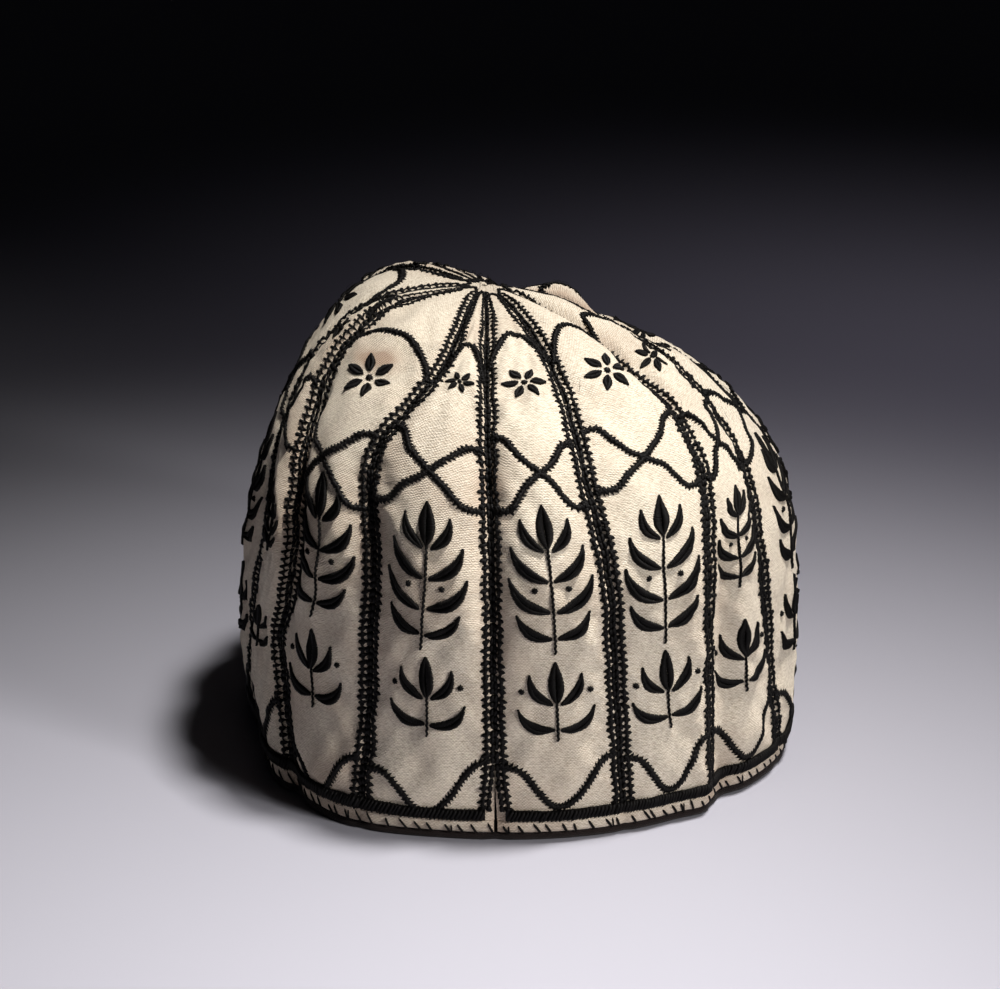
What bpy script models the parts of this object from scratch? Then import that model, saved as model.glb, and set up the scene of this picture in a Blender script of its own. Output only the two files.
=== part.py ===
"""Dervish cap: sixteen cloth gores over a dark lining, with a folded hem and a black rim braid.

Metres, +Z up. The rim stands on Z = 0, the front seam faces -Y, and the origin is under the middle
of the cap. A place on the cap is given by three numbers:
  gore    how far round it is, counted in gores from the front seam towards +X
  rise    how far up the cloth it is, from 0 at the rim to 1 at the crown point
  depth   how far out of the cloth's outer face it is, in metres, negative inwards
"""
import math

import bmesh
import bpy
import numpy as np

# Driving dimensions, in metres and degrees
MM = 0.001
GORES = 16
FRONT_SEAM_DEG = -3.8
CLOTH = 1.6 * MM
GAP = 0.3 * MM
LAYER_GAP = 0.4 * MM
LINING = 1.0 * MM
PUFF = 2.0 * MM

# The cloth is about 200 mm long from the rim to the crown point
CLOTH_LENGTH = 200.0 * MM
LIP_TOP = 2.3 * MM
HEM_BOTTOM = 2.6 * MM
HEM_TOP = 6.1 * MM
BRAID_BOTTOM = 6.4 * MM
BRAID_TOP = 10.2 * MM
HEM_PROUD = 0.4 * MM
BRAID_THICKNESS = 1.3 * MM
BRAID_OPENING = 4.8 * MM
CROWN_HOLE_RISE = 0.985

# The slumped form: for each direction, radii in mm at the rim, waist, wall, brow and crown,
# and the heights of the brow and the crown. Azimuth 0 is the front, 90 the side at +X, and MIDDLE
# is taken off every point, so that the whole cap is centred on the origin.
SECTION_COLUMNS = ("azimuth", "rim", "waist", "wall", "brow", "brow_z", "crown", "crown_z")
SECTIONS = (
    (0, 92.0, 90.0, 86.5, 75.0, 111.7, 48.0, 131.7),
    (45, 92.5, 90.5, 87.0, 76.0, 106.7, 47.0, 131.7),
    (90, 88.5, 90.0, 84.5, 72.0, 105.7, 46.0, 127.7),
    (135, 90.0, 90.0, 85.0, 71.0, 105.7, 45.0, 122.7),
    (180, 90.5, 90.0, 86.0, 73.0, 108.7, 44.0, 127.7),
    (225, 90.0, 90.0, 86.0, 70.5, 117.7, 45.0, 139.2),
    (270, 88.0, 88.5, 82.7, 67.6, 115.0, 44.5, 137.2),
    (315, 95.5, 90.0, 86.5, 74.0, 112.7, 46.0, 136.2),
)
STATIONS = (0.0, 0.21, 0.42, 0.58, 0.77, 1.0)
WAIST_Z = 42.7
WALL_Z = 84.7
APEX = (-11.0, 14.0, 143.2)
APEX_SHIFT_START = 0.35
MIDDLE = (0.60, -0.54)

# How far each seam strays from its even place, in degrees, at the same stations as the sections
DRIFT_COLUMNS = ("seam", "rim", "waist", "wall", "brow", "crown", "apex")
SEAM_DRIFT = (
    (-7, 0.0, 0.0, 0.0, -1.0, -8.0, -10.0),
    (-6, 0.0, 0.0, 0.0, -2.0, -16.0, -20.0),
    (-5, 0.0, 0.0, 0.0, -4.0, -24.0, -30.0),
    (-4, 0.0, 0.0, 0.0, -6.0, -30.0, -38.0),
    (-3, 0.0, -1.0, 5.0, -7.0, -10.0, -14.0),
    (-2, 0.0, -8.5, -6.0, -12.0, -15.0, -22.0),
    (-1, -3.7, -4.2, -4.7, -7.0, 8.0, 12.0),
    (0, -0.7, -1.2, -1.7, -1.0, 1.0, 6.0),
    (1, 1.8, 0.2, -1.0, -1.5, 3.5, 10.0),
    (2, -1.4, -2.0, -0.5, 8.0, 18.0, 26.0),
    (3, -1.2, -4.0, -5.7, 4.0, 22.0, 54.0),
    (4, -3.0, -2.0, 5.0, 12.0, 20.0, 54.0),
    (5, 0.0, 0.0, 2.0, 8.0, 14.0, 42.0),
    (6, 0.0, 0.0, 0.0, 4.0, 8.0, 28.0),
    (7, 0.0, 0.0, 0.0, 1.0, 3.0, 14.0),
)

# Creases (depth inwards, in mm) and ridges (negative depth). Each runs from a low to a high end.
FOLD_COLUMNS = ("gore_low", "gore_high", "rise_low", "rise_high", "half_width", "depth")
FOLDS = (
    (0.0, 0.0, 0.20, 0.70, 0.17, 3.0),
    (-1.0, -1.0, 0.28, 0.62, 0.30, 2.5),
    (-1.90, -1.90, 0.20, 0.72, 0.16, 6.0),
    (-2.20, -2.15, 0.24, 0.95, 0.28, -2.5),
    (-1.92, -1.92, -0.10, 0.26, 0.20, 2.5),
    (-1.50, -1.25, 0.66, 0.80, 0.26, 2.0),
    (-3.0, -3.0, -0.15, 0.14, 0.70, 3.5),
    (1.85, 1.92, -0.15, 0.55, 0.26, -2.0),
    (2.20, 2.28, -0.15, 0.50, 0.25, 3.2),
    (3.1, 3.1, -0.15, 0.16, 0.60, -2.0),
    (-1.1, -1.1, -0.15, 0.16, 0.70, -3.0),
    (2.05, 1.95, 0.66, 0.98, 0.26, 5.0),
    (2.4, 2.4, 0.68, 0.90, 0.60, 2.0),
    (3.0, 3.4, 0.80, 0.99, 0.16, 3.0),
    (4.0, 3.9, 0.82, 0.95, 0.75, -4.5),
    (3.9, 3.9, 0.70, 0.87, 0.80, 5.0),
    (4.6, 4.2, 0.88, 1.0, 1.50, 5.0),
    (6.8, 6.6, 0.82, 1.0, 1.40, 4.5),
)
FOLD_END = 0.3

# Mesh rows up the cloth and columns across a gore. Every layer shares them, so that they nest.
CLOTH_ROWS = 15
GORE_COLUMNS = 4


def smooth(x):
    """Ease from 0 to 1 as x goes from 0 to 1."""
    x = np.clip(x, 0.0, 1.0)
    return x * x * (3.0 - 2.0 * x)


def around(column, degrees):
    """A column of SECTIONS read at any azimuth, on a smooth closed curve."""
    values = np.array([row[SECTION_COLUMNS.index(column)] for row in SECTIONS])
    place = degrees * len(SECTIONS) / 360.0
    low = np.floor(place).astype(int)
    t = place - low
    before, start, end, after = (values[(low + k) % len(SECTIONS)] for k in (-1, 0, 1, 2))
    bend = 2.0 * before - 5.0 * start + 4.0 * end - after
    twist = 3.0 * start - before - 3.0 * end + after
    return 0.5 * (2.0 * start + (end - before) * t + bend * t**2 + twist * t**3)


def upwards(values, rise, top_slope=None):
    """A smooth curve through one value at each of STATIONS, read at rise."""
    steps = np.diff(STATIONS)
    grades = [(values[i + 1] - values[i]) / steps[i] for i in range(len(steps))]
    slopes = [grades[0]]
    for i in range(1, len(steps)):
        mixed = grades[i - 1] * steps[i] + grades[i] * steps[i - 1]
        slopes.append(mixed / (steps[i - 1] + steps[i]))
    slopes.append(grades[-1] if top_slope is None else top_slope + 0.0 * rise)
    result = np.zeros_like(rise)
    for i, step in enumerate(steps):
        t = (rise - STATIONS[i]) / step
        curve = ((2 * t**3 - 3 * t**2 + 1) * values[i] + (t**3 - 2 * t**2 + t) * step * slopes[i]
                 + (3 * t**2 - 2 * t**3) * values[i + 1] + (t**3 - t**2) * step * slopes[i + 1])
        result = np.where(rise >= STATIONS[i], curve, result)
    return result


def form(degrees, rise):
    """The slumped cap without its folds: a point in mm for each azimuth and rise."""
    even = np.zeros_like(rise)
    radii = [around(name, degrees) for name in ("rim", "waist", "wall", "brow", "crown")]
    heights = [even, even + WAIST_Z, even + WALL_Z, around("brow_z", degrees),
               around("crown_z", degrees)]
    radius = upwards(radii + [even], rise)
    height = upwards(heights + [even + APEX[2]], rise, top_slope=0.0)
    shift = smooth((rise - APEX_SHIFT_START) / (1.0 - APEX_SHIFT_START))
    angle = np.radians(degrees)
    return np.stack([APEX[0] * shift + radius * np.sin(angle) - MIDDLE[0],
                     APEX[1] * shift - radius * np.cos(angle) - MIDDLE[1], height], axis=-1)


def azimuth(gore, rise):
    """The azimuth in degrees of a place given in gores, with the seams' drift."""
    low = np.floor(gore).astype(int)
    part = gore - low
    drift = np.zeros_like(rise)
    for seam, *degrees in SEAM_DRIFT:
        here = upwards([np.full_like(rise, d) for d in degrees], rise)
        share = np.where(low % GORES == seam % GORES, 1.0 - part, 0.0)
        share += np.where((low + 1) % GORES == seam % GORES, part, 0.0)
        drift += share * here
    return FRONT_SEAM_DEG + 360.0 / GORES * gore + drift


def relief(gore, rise):
    """How far in mm the cloth stands out: puffed between seams, sunk in its creases."""
    part = gore - np.floor(gore)
    out = PUFF / MM * 4.0 * part * (1.0 - part) * smooth(rise / 0.1) * smooth((1.0 - rise) / 0.25)
    for gore_low, gore_high, rise_low, rise_high, half_width, depth in FOLDS:
        along = (rise - rise_low) / (rise_high - rise_low)
        middle = gore_low + (gore_high - gore_low) * np.clip(along, 0.0, 1.0)
        across = (gore - middle + GORES / 2) % GORES - GORES / 2
        ends = smooth(along / FOLD_END) * smooth((1.0 - along) / FOLD_END)
        out -= depth * ends * np.exp(-2.0 * (across / half_width) ** 2)
    return out


def place(gore, rise, depth):
    """Points in metres. The outward direction is level at the rim, so the edge stays flat,
    and upright at the crown point, where all azimuths meet."""
    degrees = azimuth(gore, rise)
    middle = np.clip(rise, 0.004, 0.985)
    sideways = form(degrees + 0.5, middle) - form(degrees - 0.5, middle)
    upward = form(degrees, middle + 0.001) - form(degrees, middle - 0.001)
    outward = np.cross(sideways, upward)
    outward[..., :2] *= smooth((1.0 - rise) / 0.05)[..., None]
    outward[..., 2] *= smooth(rise / 0.1)
    outward /= np.linalg.norm(outward, axis=-1, keepdims=True)
    reach = relief(gore, rise) + depth / MM
    return (form(degrees, rise) + outward * reach[..., None]) * MM


def material(name, colour, roughness):
    """A plain cloth or thread finish."""
    finish = bpy.data.materials.new(name)
    finish.use_nodes = True
    shader = finish.node_tree.nodes["Principled BSDF"]
    shader.inputs["Base Color"].default_value = (*colour, 1.0)
    shader.inputs["Roughness"].default_value = roughness
    shader.inputs["Metallic"].default_value = 0.0
    return finish


def wall(name, finish, columns, heights, gore_at, outer, inner):
    """A closed wall of cloth on the cap's form.

    heights holds the rise of each row of its mesh. gore_at turns a column's share (0 to 1) and
    its rise into gores. outer and inner give the depths of its two faces for a rise.
    """
    mesh = bmesh.new()
    share = mesh.verts.layers.float.new("share")
    rise = mesh.verts.layers.float.new("rise")
    bmesh.ops.create_grid(mesh, x_segments=columns, y_segments=len(heights) - 1, size=0.5)
    for vert in mesh.verts:
        vert[share] = vert.co.x + 0.5
        vert[rise] = heights[round((vert.co.y + 0.5) * (len(heights) - 1))]

    def settle(verts, depth_at):
        shares = np.array([vert[share] for vert in verts])
        rises = np.array([vert[rise] for vert in verts])
        points = place(gore_at(shares, rises), rises, depth_at(rises))
        for vert, point in zip(verts, points):
            vert.co = point

    settle(list(mesh.verts), outer)
    bmesh.ops.remove_doubles(mesh, verts=mesh.verts, dist=0.01 * MM)
    grown = bmesh.ops.extrude_face_region(mesh, geom=mesh.faces[:], use_keep_orig=True)
    inside = [item for item in grown["geom"] if isinstance(item, bmesh.types.BMVert)]
    settle(inside, inner)
    bmesh.ops.recalc_face_normals(mesh, faces=mesh.faces)
    data = bpy.data.meshes.new(name)
    mesh.to_mesh(data)
    mesh.free()
    data.materials.append(finish)
    data.shade_smooth()
    data.set_sharp_from_angle(angle=math.radians(35))
    piece = bpy.data.objects.new(name, data)
    bpy.data.collections["dervish_cap"].objects.link(piece)
    return piece


def level(depth):
    """The same depth at every rise."""
    return lambda rises: np.full_like(rises, depth)


def round_rim(opening):
    """Columns all the way round, with an opening in metres shared by both sides of the front seam."""
    gap = opening / 2 / (2 * math.pi * SECTIONS[0][1] * MM / GORES)
    return lambda shares, rises: np.clip(shares * GORES, gap, GORES - gap)


def gore_rows():
    """The rows of a gore, from the edge under the braid to the small hole at the crown point."""
    rows = np.linspace(BRAID_BOTTOM / CLOTH_LENGTH, CROWN_HOLE_RISE, CLOTH_ROWS + 1)
    return [rows[0], BRAID_TOP / CLOTH_LENGTH, *rows[1:]]


def make_gore(number, finish):
    """One tapering panel, half a gap clear of the seam on each side."""
    start = float(number)

    def gore_at(shares, rises):
        left = place(np.full_like(rises, start), rises, np.zeros_like(rises))
        right = place(np.full_like(rises, start + 0.9999), rises, np.zeros_like(rises))
        clear = GAP / 2 / np.linalg.norm(right - left, axis=-1)
        return start + clear + shares * (1.0 - 2.0 * clear)

    return wall(f"gore_{number + 1:02d}", finish, GORE_COLUMNS, gore_rows(), gore_at,
                level(0.0), level(-CLOTH))


def make_lining(finish):
    """The inner cap, one dome whose lower edge is rolled out under the hem."""
    back = -CLOTH - LAYER_GAP
    lip = (0.0, 0.3 * LIP_TOP, 0.75 * LIP_TOP, LIP_TOP)
    lip_depth = (-0.4 * MM, 0.3 * MM, 0.2 * MM, back)
    rows = [z / CLOTH_LENGTH for z in lip] + gore_rows() + [1.0]

    def outer(rises):
        return np.interp(rises, [z / CLOTH_LENGTH for z in lip], lip_depth)

    return wall("lining", finish, GORES * GORE_COLUMNS, rows, lambda shares, rises: shares * GORES,
                outer, level(back - LINING))


def make_ring(name, finish, bottom, top, outer, inner, opening):
    """A flat strip round the rim, open at the front seam."""
    rows = [bottom / CLOTH_LENGTH, top / CLOTH_LENGTH]
    return wall(name, finish, GORES * GORE_COLUMNS, rows, round_rim(opening),
                level(outer), level(inner))


def build():
    for item in list(bpy.data.objects):
        bpy.data.objects.remove(item)
    collection = bpy.data.collections.new("dervish_cap")
    bpy.context.scene.collection.children.link(collection)
    cream = material("cream_cloth", (0.76, 0.68, 0.55), 0.9)
    brown = material("brown_lining", (0.035, 0.018, 0.014), 0.85)
    black = material("black_wool", (0.008, 0.009, 0.012), 0.6)
    make_lining(brown)
    for number in range(GORES):
        make_gore(number, cream)
    make_ring("hem_binding", cream, HEM_BOTTOM, HEM_TOP, HEM_PROUD, -CLOTH, 2 * GAP)
    make_ring("rim_braid", black, BRAID_BOTTOM, BRAID_TOP, LAYER_GAP + BRAID_THICKNESS, LAYER_GAP,
              BRAID_OPENING)


build()
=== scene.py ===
"""Dervish cap: cream cloth gores sewn over a brown lining and embroidered in black wool.

Metres, +Z up. A place on the cap is given by three numbers:
  gore    how far round it is, counted in gores from the front seam towards +X
  rise    how far up the cloth it is, from 0 at the rim to 1 at the crown point
  depth   how far out of the cloth's outer face it is, in metres, negative inwards
"""
import math

import bmesh
import bpy
import numpy as np
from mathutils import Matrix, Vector


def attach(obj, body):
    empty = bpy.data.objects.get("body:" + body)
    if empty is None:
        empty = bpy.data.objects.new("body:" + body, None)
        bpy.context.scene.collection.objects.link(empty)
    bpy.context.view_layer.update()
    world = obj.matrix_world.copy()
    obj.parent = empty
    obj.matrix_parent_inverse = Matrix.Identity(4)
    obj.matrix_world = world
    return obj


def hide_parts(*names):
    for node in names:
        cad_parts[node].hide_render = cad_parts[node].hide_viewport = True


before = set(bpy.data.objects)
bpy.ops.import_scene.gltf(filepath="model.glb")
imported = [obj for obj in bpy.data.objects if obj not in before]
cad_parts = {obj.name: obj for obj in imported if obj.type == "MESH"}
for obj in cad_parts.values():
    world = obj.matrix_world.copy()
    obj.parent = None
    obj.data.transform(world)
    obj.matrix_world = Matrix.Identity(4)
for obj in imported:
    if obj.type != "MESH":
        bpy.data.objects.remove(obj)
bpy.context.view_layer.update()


# Cream gores
# Sixteen tapering panels of hand-woven cream wool and cotton, sewn edge to edge from the rim to the
# crown point. The cap has slumped: the crown leans back and left, and some seams have sunk to creases.

MM = 0.001
GORES = 16
FRONT_SEAM_DEG = -3.8
CLOTH = 1.6 * MM
# The cloth is about 200 mm long from the rim to the crown point
CLOTH_LENGTH = 200.0 * MM
BRAID_BOTTOM = 6.4 * MM
CROWN_END_RISE = 0.995

# For each direction, radii in mm at the rim, waist, wall, brow and crown, and two heights in mm.
# Azimuth 0 is the front, 90 the side at +X. MIDDLE is taken off every point, so that the whole cap
# is centred on the origin.
SECTION_COLUMNS = ("azimuth", "rim", "waist", "wall", "brow", "brow_z", "crown", "crown_z")
SECTIONS = (
    (0, 92.0, 90.0, 86.5, 75.0, 111.7, 48.0, 131.7),
    (45, 92.5, 90.5, 87.0, 76.0, 106.7, 47.0, 131.7),
    (90, 88.5, 90.0, 84.5, 72.0, 105.7, 46.0, 127.7),
    (135, 90.0, 90.0, 85.0, 71.0, 105.7, 45.0, 122.7),
    (180, 90.5, 90.0, 86.0, 73.0, 108.7, 44.0, 127.7),
    (225, 90.0, 90.0, 86.0, 70.5, 117.7, 45.0, 139.2),
    (270, 88.0, 88.5, 82.7, 67.6, 115.0, 44.5, 137.2),
    (315, 95.5, 90.0, 86.5, 74.0, 112.7, 46.0, 136.2),
)
STATIONS = (0.0, 0.21, 0.42, 0.58, 0.77, 1.0)
WAIST_Z = 42.7
WALL_Z = 84.7
APEX = (-11.0, 14.0, 143.2)
APEX_SHIFT_START = 0.35
MIDDLE = (0.60, -0.54)

# How far each seam strays from its even place, in degrees, at the same stations as the sections
SEAM_DRIFT = (
    (-7, 0.0, 0.0, 0.0, -1.0, -8.0, -10.0),
    (-6, 0.0, 0.0, 0.0, -2.0, -16.0, -20.0),
    (-5, 0.0, 0.0, 0.0, -4.0, -24.0, -30.0),
    (-4, 0.0, 0.0, 0.0, -6.0, -30.0, -38.0),
    (-3, 0.0, -1.0, 5.0, -7.0, -10.0, -14.0),
    (-2, 0.0, -8.5, -6.0, -12.0, -15.0, -22.0),
    (-1, -3.7, -4.2, -4.7, -7.0, 8.0, 12.0),
    (0, -0.7, -1.2, -1.7, -1.0, 1.0, 6.0),
    (1, 1.8, 0.2, -1.0, -1.5, 3.5, 10.0),
    (2, -1.4, -2.0, -0.5, 8.0, 18.0, 26.0),
    (3, -1.2, -4.0, -5.7, 4.0, 22.0, 54.0),
    (4, -3.0, -2.0, 5.0, 12.0, 20.0, 54.0),
    (5, 0.0, 0.0, 2.0, 8.0, 14.0, 42.0),
    (6, 0.0, 0.0, 0.0, 4.0, 8.0, 28.0),
    (7, 0.0, 0.0, 0.0, 1.0, 3.0, 14.0),
)

# The cap's mean radius in mm at the same stations, and one gore's share of the rim in mm
MEAN_RADII = (90.0, 90.0, 86.0, 73.0, 46.0, 0.5)
RIM_GORE = 2.0 * math.pi * MEAN_RADII[0] / GORES

# Creases and ridges, which have a negative depth. Each runs from a low to a high end.
# Columns: gore at the low end, gore at the high end, rise at the low end, rise at the high end, half
# width in gores, depth inwards in mm
FOLDS = (
    (0.0, 0.0, 0.20, 0.70, 0.17, 3.0),
    (-1.0, -1.0, 0.28, 0.62, 0.30, 2.5),
    (-1.90, -1.90, 0.20, 0.72, 0.16, 6.0),
    (-2.20, -2.15, 0.24, 0.95, 0.28, -2.5),
    (-1.92, -1.92, -0.10, 0.26, 0.20, 2.5),
    (-1.50, -1.25, 0.66, 0.80, 0.26, 2.0),
    (-3.0, -3.0, -0.15, 0.14, 0.70, 3.5),
    (1.85, 1.92, -0.15, 0.55, 0.26, -2.0),
    (2.20, 2.28, -0.15, 0.50, 0.25, 3.2),
    (3.1, 3.1, -0.15, 0.16, 0.60, -2.0),
    (-1.1, -1.1, -0.15, 0.16, 0.70, -3.0),
    (2.05, 1.95, 0.66, 0.98, 0.26, 5.0),
    (2.4, 2.4, 0.68, 0.90, 0.60, 2.0),
    (3.0, 3.4, 0.80, 0.99, 0.16, 3.0),
    (4.0, 3.9, 0.82, 0.95, 0.75, -4.5),
    (3.9, 3.9, 0.70, 0.87, 0.80, 5.0),
    (4.6, 4.2, 0.88, 1.0, 1.50, 5.0),
    (6.8, 6.6, 0.82, 1.0, 1.40, 4.5),
)
# The share of a fold's run over which it fades out at each end
FOLD_END = 0.3

# The relief of the cloth, in mm: how far a gore puffs out between its seams, and the soft unevenness
# of old cloth, which is a sum of waves that close on themselves round the cap
PUFF = 2.0
UNEVEN = 0.11
UNEVEN_WAVES = 14
WAVES_ROUND = (18, 76)
WAVES_UP = 16.0
# The stitches beside each seam draw the cloth in to small puckers. Columns of the beats: share,
# waves' speed up the cloth, and their shift from one seam to the next.
PUCKER = 0.16
PUCKER_MIDDLE = 4.5
PUCKER_REACH = 6.0
PUCKER_BEATS = ((1.0, 230.0, 5.0), (0.6, 371.0, 9.0))
SEAM_DIP = 0.55
SEAM_DIP_REACH = 0.8
# The rises over which the relief fades out towards the rim and towards the crown point
RELIEF_FADE_LOW = 0.1
RELIEF_FADE_HIGH = 0.25
SEAM_DIP_FADE = 0.1

# Where the cloth's slope is measured: steps in degrees and in rise, within this range of rises
SLOPE_STEP_DEG = 0.5
SLOPE_STEP_RISE = 0.001
SLOPE_RANGE = (0.004, 0.985)
# The rises over which the outward direction turns level at the rim and upright at the crown point
LEVEL_FADE = 0.1
UPRIGHT_FADE = 0.05

# Where the cloth is painted darker: painted shade over the left side, which faces away from the
# lamps, a brown streak by the left flower, and painted shade in the hollow under the bump at the
# crown. Columns: gore, rise, half size in gores and in rise, strength.
DARKENED_PATCHES = (
    (14.9, 0.30, 1.2, 0.34, 0.34),
    (12.0, 0.30, 2.2, 0.50, 0.22),
    (14.36, 0.722, 0.15, 0.014, 1.30),
    (14.52, 0.738, 0.15, 0.014, 1.30),
    (3.35, 0.89, 0.22, 0.05, 0.90),
)
# Painted shade also darkens the cloth beside the seams (reach in mm) and in creases (strength for
# each mm of their depth, down to the deepest that counts), and the cloth is darker just above the
# rim (reach in rise)
SEAM_SHADE = 0.24
SEAM_SHADE_REACH = 4.0
CREASE_SHADE = 0.06
CREASE_SHADE_DEEPEST = 6.0
RIM_DARKENING = 0.22
RIM_DARKENING_REACH = 0.05

chance = np.random.default_rng(1600)
wave_round = chance.integers(*WAVES_ROUND, UNEVEN_WAVES)
wave_up = chance.uniform(-WAVES_UP, WAVES_UP, UNEVEN_WAVES)
wave_phase = chance.uniform(0.0, 2.0 * math.pi, UNEVEN_WAVES)


def smooth(x):
    """Ease from 0 to 1 as x goes from 0 to 1."""
    x = np.clip(x, 0.0, 1.0)
    return x * x * (3.0 - 2.0 * x)


def around(column, degrees):
    """A column of SECTIONS read at any azimuth, on a smooth closed curve."""
    values = np.array([row[SECTION_COLUMNS.index(column)] for row in SECTIONS])
    place_round = degrees * len(SECTIONS) / 360.0
    low = np.floor(place_round).astype(int)
    t = place_round - low
    before, start, end, after = (values[(low + k) % len(SECTIONS)] for k in (-1, 0, 1, 2))
    bend = 2.0 * before - 5.0 * start + 4.0 * end - after
    twist = 3.0 * start - before - 3.0 * end + after
    return 0.5 * (2.0 * start + (end - before) * t + bend * t**2 + twist * t**3)


def upwards(values, rise, top_slope=None):
    """A smooth curve through one value at each of STATIONS, read at rise."""
    steps = np.diff(STATIONS)
    grades = [(values[i + 1] - values[i]) / steps[i] for i in range(len(steps))]
    slopes = [grades[0]]
    for i in range(1, len(steps)):
        mixed = grades[i - 1] * steps[i] + grades[i] * steps[i - 1]
        slopes.append(mixed / (steps[i - 1] + steps[i]))
    slopes.append(grades[-1] if top_slope is None else top_slope + 0.0 * rise)
    result = np.zeros_like(rise)
    for i, step in enumerate(steps):
        t = (rise - STATIONS[i]) / step
        curve = ((2 * t**3 - 3 * t**2 + 1) * values[i] + (t**3 - 2 * t**2 + t) * step * slopes[i]
                 + (3 * t**2 - 2 * t**3) * values[i + 1] + (t**3 - t**2) * step * slopes[i + 1])
        result = np.where(rise >= STATIONS[i], curve, result)
    return result


def form(degrees, rise):
    """The slumped cap without its folds: a point in mm for each azimuth and rise."""
    even = np.zeros_like(rise)
    radii = [around(name, degrees) for name in ("rim", "waist", "wall", "brow", "crown")]
    heights = [even, even + WAIST_Z, even + WALL_Z, around("brow_z", degrees),
               around("crown_z", degrees)]
    radius = upwards(radii + [even], rise)
    height = upwards(heights + [even + APEX[2]], rise, top_slope=0.0)
    shift = smooth((rise - APEX_SHIFT_START) / (1.0 - APEX_SHIFT_START))
    angle = np.radians(degrees)
    return np.stack([APEX[0] * shift + radius * np.sin(angle) - MIDDLE[0],
                     APEX[1] * shift - radius * np.cos(angle) - MIDDLE[1], height], axis=-1)


def seam_drifts():
    """Each seam's drift in degrees at even steps of rise."""
    rises = np.linspace(0.0, 1.0, DRIFT_STEPS + 1)
    table = np.zeros((GORES, DRIFT_STEPS + 1))
    for seam, *degrees in SEAM_DRIFT:
        table[seam % GORES] = upwards([np.full_like(rises, d) for d in degrees], rises)
    return table


DRIFT_STEPS = 1000
DRIFTS = seam_drifts()


def drift(seam, rise):
    """A seam's drift in degrees at any rise."""
    step = np.clip(rise, 0.0, 1.0) * DRIFT_STEPS
    low = np.minimum(step.astype(int), DRIFT_STEPS - 1)
    t = step - low
    return DRIFTS[seam % GORES, low] * (1.0 - t) + DRIFTS[seam % GORES, low + 1] * t


def azimuth(gore, rise):
    """The azimuth in degrees of a place given in gores, with the seams' drift."""
    low = np.floor(gore).astype(int)
    part = gore - low
    strayed = (1.0 - part) * drift(low, rise) + part * drift(low + 1, rise)
    return FRONT_SEAM_DEG + 360.0 / GORES * gore + strayed


def gore_width(gore, rise):
    """Roughly how wide in mm the gore at this place is there."""
    low = np.floor(gore).astype(int)
    wide = 360.0 / GORES + drift(low + 1, rise) - drift(low, rise)
    return np.maximum(np.interp(rise, STATIONS, MEAN_RADII) * np.radians(wide), 0.2)


def creases(gore, rise, wanted):
    """The summed depth in mm of those rows of FOLDS whose depth is wanted."""
    out = np.zeros_like(rise)
    for gore_low, gore_high, rise_low, rise_high, half_width, depth in FOLDS:
        if not wanted(depth):
            continue
        along = (rise - rise_low) / (rise_high - rise_low)
        middle = gore_low + (gore_high - gore_low) * np.clip(along, 0.0, 1.0)
        across = (gore - middle + GORES / 2) % GORES - GORES / 2
        ends = smooth(along / FOLD_END) * smooth((1.0 - along) / FOLD_END)
        out += depth * ends * np.exp(-2.0 * (across / half_width) ** 2)
    return out


def relief(gore, rise):
    """How far in mm the cloth stands out: puffed between seams, sunk in its creases, drawn in along
    the stitching and a little uneven all over."""
    part = gore - np.floor(gore)
    calm = smooth(rise / RELIEF_FADE_LOW) * smooth((1.0 - rise) / RELIEF_FADE_HIGH)
    out = PUFF * 4.0 * part * (1.0 - part) * calm
    out -= creases(gore, rise, lambda depth: True)
    for turns, climbs, phase in zip(wave_round, wave_up, wave_phase):
        out += UNEVEN * calm * np.sin(2.0 * math.pi * (turns * gore / GORES + climbs * rise) + phase)
    from_seam = np.minimum(part, 1.0 - part) * gore_width(gore, rise)
    row = np.round(gore)
    beat = sum(strength * np.sin(rise * speed + shift * row) for strength, speed, shift in PUCKER_BEATS)
    out += PUCKER * beat * np.exp(-(((from_seam - PUCKER_MIDDLE) / PUCKER_REACH) ** 2)) * calm
    dip = SEAM_DIP * np.exp(-((from_seam / SEAM_DIP_REACH) ** 2))
    out -= dip * smooth((1.0 - rise) / SEAM_DIP_FADE)
    return out


def place(gore, rise, depth):
    """Points in metres. The outward direction is level at the rim, so the edge stays flat,
    and upright at the crown point, where all azimuths meet."""
    degrees = azimuth(gore, rise)
    middle = np.clip(rise, *SLOPE_RANGE)
    sideways = form(degrees + SLOPE_STEP_DEG, middle) - form(degrees - SLOPE_STEP_DEG, middle)
    upward = form(degrees, middle + SLOPE_STEP_RISE) - form(degrees, middle - SLOPE_STEP_RISE)
    outward = np.cross(sideways, upward)
    outward[..., :2] *= smooth((1.0 - rise) / UPRIGHT_FADE)[..., None]
    outward[..., 2] *= smooth(rise / LEVEL_FADE)
    outward /= np.linalg.norm(outward, axis=-1, keepdims=True)
    reach = relief(gore, rise) + depth / MM
    return (form(degrees, rise) + outward * reach[..., None]) * MM


def length_up(gore, count=400):
    """Rises and the lengths in mm up the cloth to them, along one line of constant gore."""
    rises = np.linspace(0.0, 1.0, count)
    points = place(np.full_like(rises, gore), rises, np.zeros_like(rises)) / MM
    steps = np.linalg.norm(np.diff(points, axis=0), axis=1)
    return rises, np.concatenate([[0.0], np.cumsum(steps)])


def level(depth):
    """The same depth at every rise."""
    return lambda rises: np.full_like(rises, depth)


# Points of a wall nearer than this are one, and its edges sharper than this stay sharp
WELD = 0.002 * MM
SHARP_DEG = 60.0


def add_object(name, data):
    """A new object in the scene, at the origin."""
    piece = bpy.data.objects.new(name, data)
    bpy.context.scene.collection.objects.link(piece)
    return piece


def paint(data, attribute, values):
    """Put one value on each point of a mesh."""
    data.attributes.new(attribute, "FLOAT", "POINT").data.foreach_set("value", values)


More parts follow.
